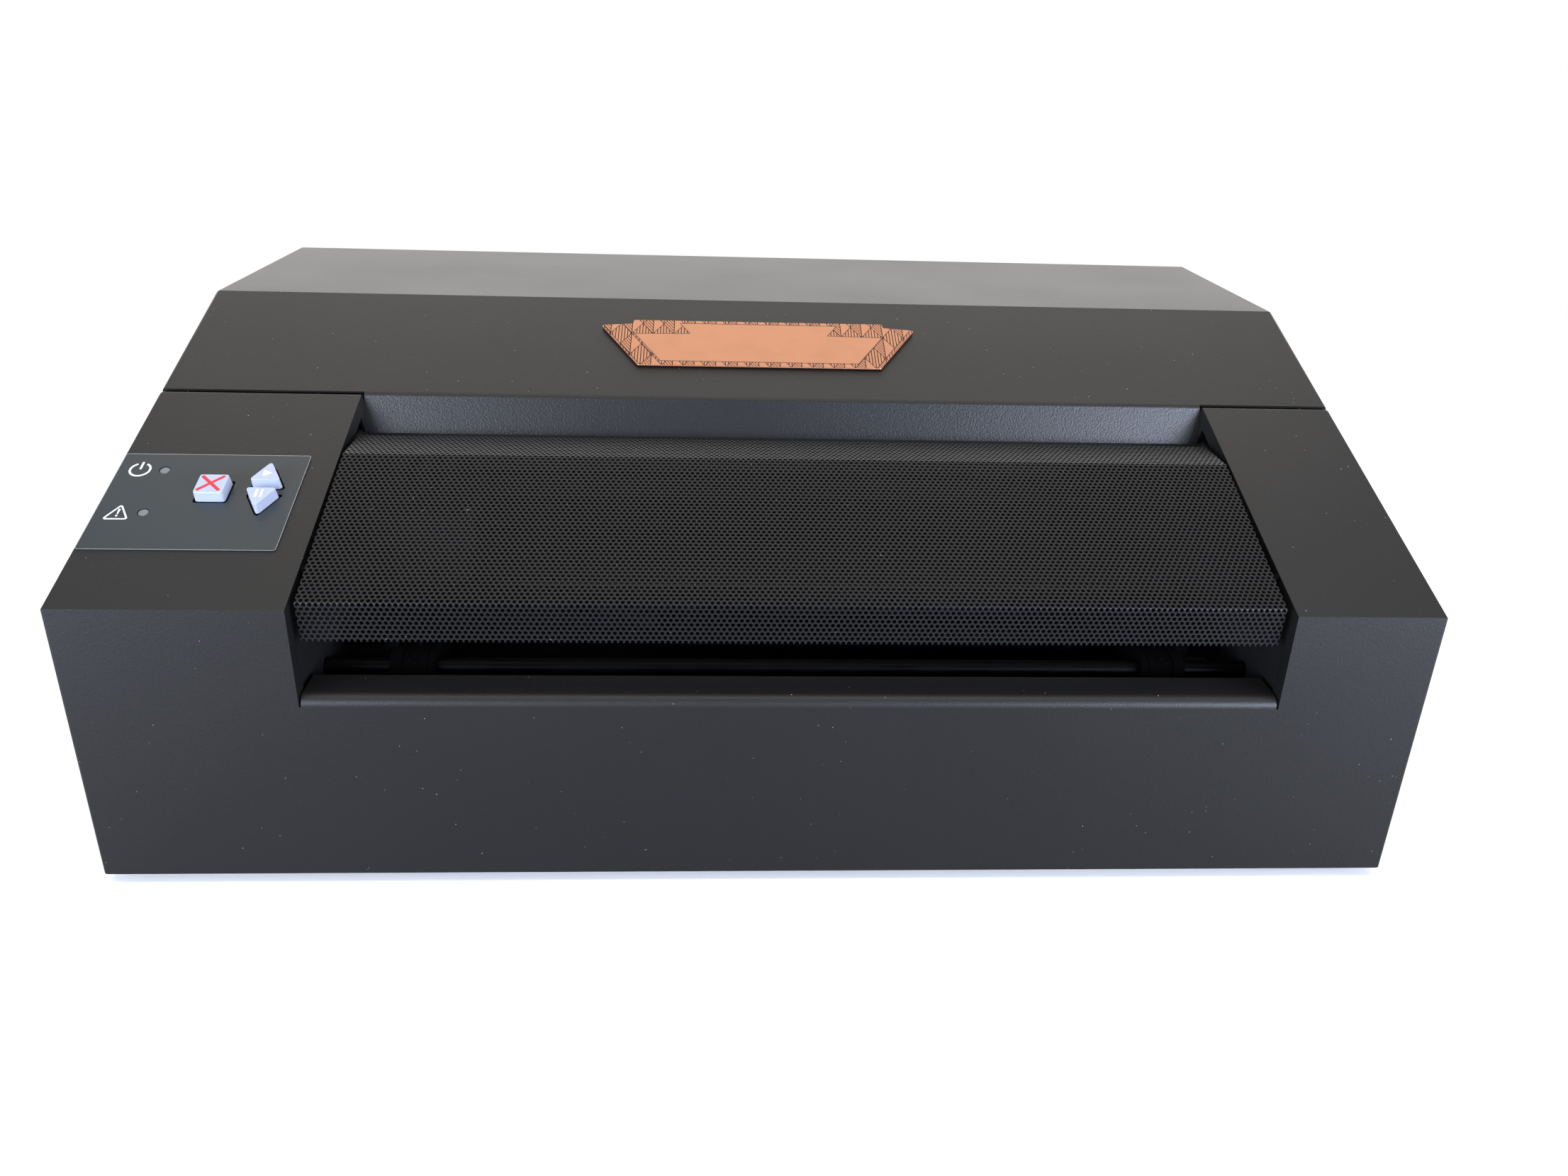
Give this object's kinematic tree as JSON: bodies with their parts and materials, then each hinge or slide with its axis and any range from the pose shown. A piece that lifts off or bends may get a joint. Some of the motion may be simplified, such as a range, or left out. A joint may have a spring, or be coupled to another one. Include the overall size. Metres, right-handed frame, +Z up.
{
  "type": "braille embosser",
  "caption": "Desktop braille embosser with a folded steel case, hinged lid, perforated front cover, keypad and pin-feed tractors.",
  "frame": {"origin": "centre of the footprint, on the surface that the feet stand on", "axes": "+X to the machine's right as seen from its front, +Y from the front towards the rear, +Z up"},
  "size_m": [0.71, 0.452, 0.266],
  "materials": {
    "case_coat": "satin textured powder coat on folded steel",
    "cover_coat": "satin powder coat on punched steel",
    "chassis_coat": "black coated steel sheet",
    "zinc_sheet": "zinc-plated steel",
    "bright_steel": "ground steel",
    "cast_aluminium": "machined aluminium",
    "motor_shell": "black motor housing",
    "copper_plate": "copper-coloured metal plate",
    "panel_film": "satin printed polyester film",
    "key_plastic": "translucent blue-white moulding",
    "light_pipe": "clear grey light pipe",
    "black_plastic": "black moulded plastic",
    "gear_plastic": "natural acetal",
    "circuit_board": "green circuit board",
    "rubber": "black rubber"
  },
  "bodies": {
    "case": {"front_case": "case_coat", "base_pan": "chassis_coat", "rear_panel": "case_coat", "control_overlay": "panel_film", "power_light": "light_pipe", "alert_light": "light_pipe", "keypad_board": "circuit_board", "lid_hinge_base_left": "zinc_sheet", "lid_hinge_base_right": "zinc_sheet", "fan_frame": "black_plastic", "power_inlet": "black_plastic", "usb_socket": "zinc_sheet", "network_socket": "zinc_sheet", "main_board": "circuit_board", "power_supply": "zinc_sheet", "frame_plate_left": "chassis_coat", "frame_plate_right": "chassis_coat", "carriage_rail_front": "bright_steel", "carriage_rail_rear": "bright_steel", "tractor_guide_rod": "bright_steel", "die_bar": "bright_steel", "exit_chute": "zinc_sheet", "carriage_belt": "rubber", "carriage_motor": "motor_shell", "carriage_motor_bracket": "zinc_sheet", "idler_bracket": "zinc_sheet", "feed_motor": "motor_shell", "foot_front_left": "rubber", "foot_front_right": "rubber", "foot_rear_left": "rubber", "foot_rear_right": "rubber"},
    "lid_group": {"lid": "case_coat", "lid_hinge_leaf_left": "zinc_sheet", "lid_hinge_leaf_right": "zinc_sheet", "nameplate": "copper_plate"},
    "cover_group": {"perforated_cover": "cover_coat", "cover_bracket_left": "chassis_coat", "cover_bracket_right": "chassis_coat"},
    "cancel_group": {"cancel_key": "key_plastic"},
    "play_group": {"play_key": "key_plastic"},
    "pause_group": {"pause_key": "key_plastic"},
    "rocker_group": {"power_rocker": "black_plastic"},
    "carriage_group": {"head_carriage": "cast_aluminium", "embossing_head": "black_plastic"},
    "pins_group": {"embossing_pins": "bright_steel"},
    "drive_pulley_group": {"drive_pulley": "cast_aluminium"},
    "idler_pulley_group": {"idler_pulley": "cast_aluminium"},
    "shaft_group": {"tractor_shaft": "bright_steel", "shaft_gear": "gear_plastic"},
    "pinion_group": {"motor_pinion": "zinc_sheet"},
    "tractor_left_group": {"tractor_body_left": "black_plastic", "pin_belt_left": "rubber"},
    "sprocket_left_group": {"tractor_sprocket_left": "gear_plastic"},
    "gate_left_group": {"paper_gate_left": "black_plastic"},
    "tractor_right_group": {"tractor_body_right": "black_plastic", "pin_belt_right": "rubber"},
    "sprocket_right_group": {"tractor_sprocket_right": "gear_plastic"},
    "gate_right_group": {"paper_gate_right": "black_plastic"},
    "fan_group": {"fan_rotor": "black_plastic"}
  },
  "joints": [
    {"name": "lid_hinge", "type": "hinge", "parent": "case", "child": "lid_group", "pos_m": [0, 0.223, 0.242], "axis": [-1, 0, 0], "range_deg": [0, 70]},
    {"name": "cover_hinge", "type": "hinge", "parent": "case", "child": "cover_group", "pos_m": [0, -0.0861, 0.2014], "axis": [-1, 0, 0], "range_deg": [0, 110]},
    {"name": "cancel_press", "type": "slide", "parent": "case", "child": "cancel_group", "axis": [0, 0.3463, -0.9381], "range_m": [0, 0.0015], "stiffness_N_per_m": 400, "springref_m": -0.001},
    {"name": "play_press", "type": "slide", "parent": "case", "child": "play_group", "axis": [0, 0.3463, -0.9381], "range_m": [0, 0.0015], "stiffness_N_per_m": 400, "springref_m": -0.001},
    {"name": "pause_press", "type": "slide", "parent": "case", "child": "pause_group", "axis": [0, 0.3463, -0.9381], "range_m": [0, 0.0015], "stiffness_N_per_m": 400, "springref_m": -0.001},
    {"name": "rocker_tilt", "type": "hinge", "parent": "case", "child": "rocker_group", "pos_m": [-0.316, 0.2194, 0.0905], "axis": [1, 0, 0], "range_deg": [0, 16]},
    {"name": "carriage_slide", "type": "slide", "parent": "case", "child": "carriage_group", "axis": [1, 0, 0], "range_m": [0, 0.43]},
    {"name": "pins_stroke", "type": "slide", "parent": "carriage_group", "child": "pins_group", "axis": [0, 0, -1], "range_m": [0, 0.001], "stiffness_N_per_m": 400, "springref_m": -0.0008},
    {"name": "drive_pulley_spin", "type": "hinge", "parent": "case", "child": "drive_pulley_group", "pos_m": [-0.292, -0.044, 0.164], "axis": [0, -1, 0], "range_deg": [-10, 3100]},
    {"name": "idler_pulley_spin", "type": "hinge", "parent": "case", "child": "idler_pulley_group", "pos_m": [0.318, -0.044, 0.164], "axis": [0, -1, 0], "range_deg": [-10, 3100]},
    {"name": "tractor_shaft_spin", "type": "hinge", "parent": "case", "child": "shaft_group", "pos_m": [0, -0.136, 0.106], "axis": [1, 0, 0], "continuous": true},
    {"name": "motor_pinion_spin", "type": "hinge", "parent": "case", "child": "pinion_group", "pos_m": [0, -0.136, 0.07], "axis": [1, 0, 0], "continuous": true},
    {"name": "tractor_left_slide", "type": "slide", "parent": "case", "child": "tractor_left_group", "axis": [1, 0, 0], "range_m": [-0.02, 0.15]},
    {"name": "tractor_right_slide", "type": "slide", "parent": "case", "child": "tractor_right_group", "axis": [1, 0, 0], "range_m": [-0.15, 0.02]},
    {"name": "sprocket_left_spin", "type": "hinge", "parent": "tractor_left_group", "child": "sprocket_left_group", "pos_m": [-0.19, -0.136, 0.106], "axis": [1, 0, 0], "continuous": true},
    {"name": "sprocket_right_spin", "type": "hinge", "parent": "tractor_right_group", "child": "sprocket_right_group", "pos_m": [0.226, -0.136, 0.106], "axis": [1, 0, 0], "continuous": true},
    {"name": "gate_left_hinge", "type": "hinge", "parent": "tractor_left_group", "child": "gate_left_group", "pos_m": [-0.2033, -0.16981, 0.1215], "axis": [0, -1, 0], "range_deg": [0, 110]},
    {"name": "gate_right_hinge", "type": "hinge", "parent": "tractor_right_group", "child": "gate_right_group", "pos_m": [0.2393, -0.16981, 0.1215], "axis": [0, 1, 0], "range_deg": [0, 110]},
    {"name": "fan_spin", "type": "hinge", "parent": "case", "child": "fan_group", "pos_m": [0.312, 0.194, 0.07], "axis": [0, 1, 0], "continuous": true}
  ],
  "couplings": [
    {"joint": "drive_pulley_spin", "follows": "carriage_slide", "rad_per_m": 125},
    {"joint": "idler_pulley_spin", "follows": "carriage_slide", "rad_per_m": 125},
    {"joint": "motor_pinion_spin", "follows": "tractor_shaft_spin", "ratio": -3},
    {"joint": "sprocket_left_spin", "follows": "tractor_shaft_spin", "ratio": 1},
    {"joint": "sprocket_right_spin", "follows": "tractor_shaft_spin", "ratio": 1}
  ]
}
